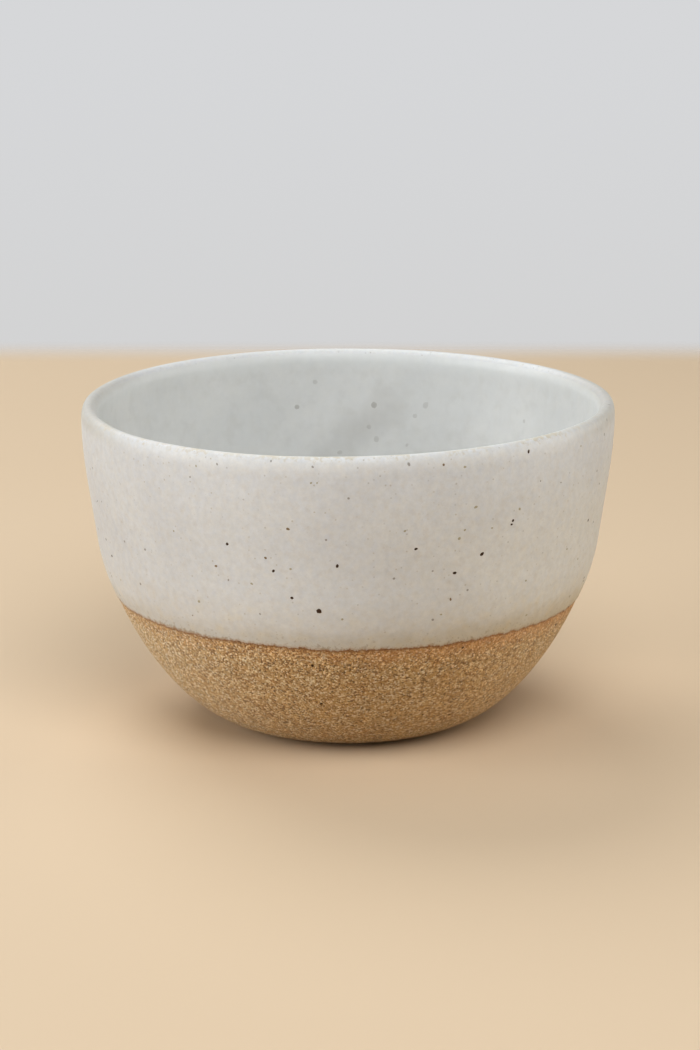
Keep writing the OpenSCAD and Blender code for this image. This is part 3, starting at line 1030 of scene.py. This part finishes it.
def speckTree():
    tree, given = geometryTree("specksOnGlaze", {
        "Places": "Geometry", "Segments": "Int", "Dome": "Float", "Sink": "Float", "Ragged": "Float",
        "Seed": "Int", "Material": "Material"})
    rows = speckLook["rows"]
    grid, across, up = unitGrid(tree, given["Segments"] + 1, rows + 1)
    turn = across * (2 * math.pi)
    row = tree.maths("ROUND", (up + 0.5) * rows)
    top = tree.maths("LESS_THAN", row, rows - 0.5)          # the last row closes the dome underneath
    share = row / (rows - 1) * top
    height = given["Dome"] * (1 - share * share) * top - given["Sink"] * (3 - 2 * top)
    edged = stored(tree, grid, "edge", share)
    x, y = share * tree.maths("SINE", turn), share * tree.maths("COSINE", turn)
    dome = placedAt(tree, edged, x, y, height, 0.001)

    width, normal = attribute(tree, "width"), attribute(tree, "up", "FLOAT_VECTOR")
    long = drawn(tree, *speckLook["stretch"], given["Seed"] + 1)
    placed = tree.node("GeometryNodeInstanceOnPoints", {}, {
        "Points": given["Places"], "Instance": dome, "Rotation": lyingOn(tree, normal, given["Seed"]),
        "Scale": tree.joined(width * long / 2, width / long / 2, width / 2)})["Instances"]
    whole = tree.node("GeometryNodeRealizeInstances", {}, {"Geometry": placed})["Geometry"]
    place = tree.node("GeometryNodeInputPosition")["Position"]
    pull = tree.noise(place, speckLook["raggedSize"] * mm, 1.0, 0.5, "Color")
    pull = tree.vectorMaths("SUBTRACT", pull, (0.5, 0.5, 0.5))
    lifted = tree.scaled(normal, tree.vectorMaths("DOT_PRODUCT", pull, normal))
    level = tree.vectorMaths("SUBTRACT", pull, lifted)
    shift = tree.scaled(level, width * given["Ragged"] * attribute(tree, "edge"))
    ragged = tree.node("GeometryNodeSetPosition", {}, {"Geometry": whole, "Offset": shift})["Geometry"]
    return finishTree(tree, ragged, given["Material"], corners=True)


specking = speckTree()


def specked(name, places, finish, seed):
    mesh = bpy.data.meshes.new(name + "Places")
    mesh.from_pydata([tuple(spot) for spot, _, _, _ in places], [], [])
    runs = [runAt((np.array([math.hypot(spot.x, spot.y), spot.z]) / mm, 0, 0)) for spot, _, _, _ in places]
    tones, depths, spreads = zip(*[speckKinds[kind] for _, _, _, kind in places])
    rows = {
        "width": [width * spread * mm for (_, _, width, _), spread in zip(places, spreads)],
        "tone": tones, "depth": depths,
        "lineGap": [run - lineRun for run in runs], "breakGap": [breakRun - run for run in runs],
    }
    for label, values in rows.items():
        mesh.attributes.new(label, "FLOAT", "POINT").data.foreach_set("value", values)
    ups = mesh.attributes.new("up", "FLOAT_VECTOR", "POINT")
    ups.data.foreach_set("vector", [value for _, up, _, _ in places for value in up])
    return grown(name, mesh, specking, {
        "Segments": speckLook["segments"], "Dome": speckLook["domeShare"], "Sink": speckLook["sinkShare"],
        "Ragged": speckLook["raggedShare"], "Seed": seed, "Material": finish})


def speckMaterial(name, under, roughness):
    look = speckLook
    made, tree = material(name)
    place, lineGap, breakGap = readings(tree)
    tone, depth, edge = [carried(tree, label) for label in ("tone", "depth", "edge")]
    colour = under(tree, place, lineGap, breakGap)
    stops = [(speckKinds[kind][0], look[kind]) for kind in ("iron", "rust", "ochre", "grey")]
    core = tree.node("ShaderNodeValToRGB", {"stops": stops}, {"Fac": tone})["Color"]
    halo = tree.mixed(tree.eased(tone, *look["haloTones"]), look["halo"], core)
    colour = tree.mixed(tree.eased(edge, *look["haloEnds"]) * depth, colour, halo)
    crisp = tree.eased(edge + tree.swing(place, *look["rimSwing"]), *look["crispEnds"])
    blurred = tree.eased(edge, *look["blurredEnds"])
    spot = crisp + (blurred - crisp) * tree.eased(depth, *look["blurredDepths"])
    colour = tree.mixed(spot * depth, colour, core)
    surface(tree, {"Base Color": colour, "Roughness": roughness, "IOR": 1.5, "Specular IOR Level": 0.3})
    return made


# For each piece of specks: what carries it, the specks that the photograph shows, the colour and the finish
# under them, and the names of its material and its slot
carriers = {
    "outerSpecks": (outerGlaze, outerSpecks, outerColour, outerFinish, "specksInOuterGlaze", "outer_glaze"),
    "linerSpecks": (linerGlaze, linerSpecks, linerColour, linerFinish, "specksInLiner", "liner_glaze"),
    "claySpecks": (clayBody, claySpecks, clayColour, stonewareFinish, "specksInClay", "stoneware"),
}
for seed, (name, (carrier, seen, under, finish, materialName, slotName)) in enumerate(carriers.items()):
    surfaceTree = BVHTree.FromObject(carrier, bpy.context.evaluated_depsgraph_get())
    places = seenPlaces(surfaceTree, seen) + scatteredPlaces(surfaceTree, *scatter[name])
    piece = specked(name, places, speckMaterial(materialName, under, finish["roughness"]), seed)
    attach(piece, "root")


# Coarse sand in the bare clay: real grains that stand a little proud

grogPiece = {
    "spacing": 0.62, "perSquareMetre": 9.0e5, "seed": 11, "bareFrom": 0.9,
    "radii": (0.12, 0.28), "squash": (0.35, 0.6), "stretch": (0.75, 1.3), "sink": 0.35,
    "kindTurns": 7.3, "toneSwing": (0.4, 0.1), "skin": (0.16, 3.0), "bump": (0.6, 0.08), "roughness": 0.8,
}


def grogTree():
    tree, given = geometryTree("sandInClay", {
        "Clay": "Geometry", "Spacing": "Float", "Density": "Float", "Seed": "Int",
        "Least": "Float", "Most": "Float", "Least Squash": "Float", "Most Squash": "Float",
        "Sink": "Float", "Material": "Material"})
    seed = given["Seed"]
    bare = tree.maths("GREATER_THAN", attribute(tree, "grain"), grogPiece["bareFrom"])
    spread = tree.node("GeometryNodeDistributePointsOnFaces", {"distribute_method": "POISSON"}, {
        "Mesh": given["Clay"], "Selection": bare, "Distance Min": given["Spacing"],
        "Density Max": given["Density"], "Seed": seed})
    grain = tree.node("GeometryNodeMeshIcoSphere", {}, {"Radius": 1.0, "Subdivisions": 1})["Mesh"]
    roll = drawn(tree, 0.0, 1.0, seed + 1)
    size = given["Least"] + (given["Most"] - given["Least"]) * roll * roll
    tall = size * drawn(tree, given["Least Squash"], given["Most Squash"], seed + 2)
    long = size * drawn(tree, *grogPiece["stretch"], seed + 4)
    down = tree.scaled(spread["Normal"], -(size * given["Sink"]))
    sunk = tree.node("GeometryNodeSetPosition", {}, {
        "Geometry": spread["Points"], "Offset": down})["Geometry"]
    placed = tree.node("GeometryNodeInstanceOnPoints", {}, {
        "Points": sunk, "Instance": grain, "Rotation": lyingOn(tree, spread["Normal"], seed + 3),
        "Scale": tree.joined(long, size, tall)})["Instances"]
    toned = stored(tree, placed, "tone", drawn(tree, 0.0, 1.0, seed + 5), "INSTANCE")
    return finishTree(tree, toned, given["Material"])


def grogMaterial():
    made, tree = material("sandGrains")
    place, lineGap, _ = readings(tree)
    tone = carried(tree, "tone")
    kind = tree.maths("FRACT", tone * grogPiece["kindTurns"])
    tone = tone + tree.swing(place, *grogPiece["toneSwing"])
    surface(tree, {
        "Base Color": sandColour(tree, place, lineGap, tone, kind), "Roughness": grogPiece["roughness"],
        "Normal": tree.bumped(tree.noise(place, *grogPiece["skin"]), *grogPiece["bump"]),
        "Specular IOR Level": 0.35})
    return made


g = grogPiece
sandGrains = grown("sandGrains", clayBody.data.copy(), grogTree(), {
    "Spacing": g["spacing"] * mm, "Density": g["perSquareMetre"], "Least": g["radii"][0] * mm,
    "Most": g["radii"][1] * mm, "Least Squash": g["squash"][0], "Most Squash": g["squash"][1],
    "Sink": g["sink"], "Seed": g["seed"], "Material": grogMaterial()})
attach(sandGrains, "root")


# Floor, backdrop and lamps

stageLook = {
    "halfWidth": 476.0, "softEdge": 48.0, "floorGrid": 24,
    "floor": paint(218, 194, 162), "patches": paint(226, 206, 178), "patchSize": 160, "patchShare": 0.25,
    "backdropLow": paint(210, 210, 210), "backdropHigh": paint(214, 215, 217), "backdropRise": (-0.24, -0.07),
    "ambient": paint(232, 234, 238), "ambientStrength": 0.05,
}


def makeFloor():
    mesh = bpy.data.meshes.new("floor")
    built = bmesh.new()
    squares = stageLook["floorGrid"]
    bmesh.ops.create_grid(built, x_segments=squares, y_segments=squares, size=stageLook["halfWidth"] * mm)
    built.to_mesh(mesh)
    built.free()
    floor = bpy.data.objects.new("floor", mesh)
    scene.collection.objects.link(floor)
    made, tree = material("paleFloor")
    place = tree.scaled(tree.node("ShaderNodeTexCoord")["Object"], 1 / mm)
    x, y, _ = tree.split(place)
    rim = tree.maths("MAXIMUM", tree.maths("ABSOLUTE", x), tree.maths("ABSOLUTE", y))
    shown = tree.eased(rim, stageLook["halfWidth"], stageLook["halfWidth"] - stageLook["softEdge"])
    patches = tree.noise(place, stageLook["patchSize"], 1.0) * stageLook["patchShare"]
    tone = tree.mixed(patches, stageLook["floor"], stageLook["patches"])
    surface(tree, {"Base Color": tone, "Roughness": 0.7, "Alpha": shown, "Specular IOR Level": 0.3})
    mesh.materials.append(made)


def makeWorld():
    world = bpy.data.worlds.new("studio")
    world.use_nodes = True
    scene.world = world
    tree = Tree(world.node_tree)
    ways = tree.node("ShaderNodeLightPath")
    seen = tree.maths("MAXIMUM", ways["Is Camera Ray"], ways["Is Glossy Ray"])
    seen = tree.maths("MAXIMUM", seen, ways["Is Transmission Ray"])
    _, _, rise = tree.split(tree.node("ShaderNodeTexCoord")["Generated"])
    share = tree.eased(rise, *stageLook["backdropRise"])
    backdrop = tree.mixed(share, stageLook["backdropLow"], stageLook["backdropHigh"])
    plain = tree.node("ShaderNodeBackground", {}, {"Color": backdrop, "Strength": 1.0})["Background"]
    light = tree.node("ShaderNodeBackground", {}, {
        "Color": stageLook["ambient"], "Strength": stageLook["ambientStrength"]})["Background"]
    both = tree.node("ShaderNodeMixShader", {}, {0: seen, 1: light, 2: plain})["Shader"]
    tree.node("ShaderNodeOutputWorld", {}, {"Surface": both})


lamps = {                                    # degrees round from the front to the right, and up; watts
    "leftWindow": {"turn": -75, "rise": 15, "size": 0.8, "power": 7.4, "colour": (0.985, 1.0, 1.02)},
    "backWindow": {"turn": -150, "rise": 50, "size": 0.8, "power": 6.1, "colour": (1.0, 1.0, 1.0)},
    "frontSoft": {"turn": 16, "rise": 50, "size": 0.8, "power": 7.7, "colour": (0.985, 1.0, 1.03)},
    "rightCard": {"turn": 95, "rise": 15, "size": 0.8, "power": 3.9, "colour": (1.0, 0.97, 0.9)},
}
lampDistance, lampAim = 1.1, Vector((0, 0, 0.04))


def makeLamps():
    for name, lamp in lamps.items():
        data = bpy.data.lights.new(name, "AREA")
        data.shape = "DISK"
        data.size = lamp["size"]
        data.energy = lamp["power"]
        data.color = lamp["colour"]
        turn, rise = math.radians(lamp["turn"]), math.radians(lamp["rise"])
        outward = Vector((math.cos(rise) * math.sin(turn), -math.cos(rise) * math.cos(turn), math.sin(rise)))
        made = bpy.data.objects.new(name, data)
        made.location = lampAim + outward * lampDistance
        made.rotation_euler = outward.to_track_quat("Z", "Y").to_euler()
        scene.collection.objects.link(made)


makeFloor()
makeWorld()
makeLamps()
scene.view_settings.view_transform = "Standard"
print("camera, floor, backdrop and lamps made")

print("pieces ready")
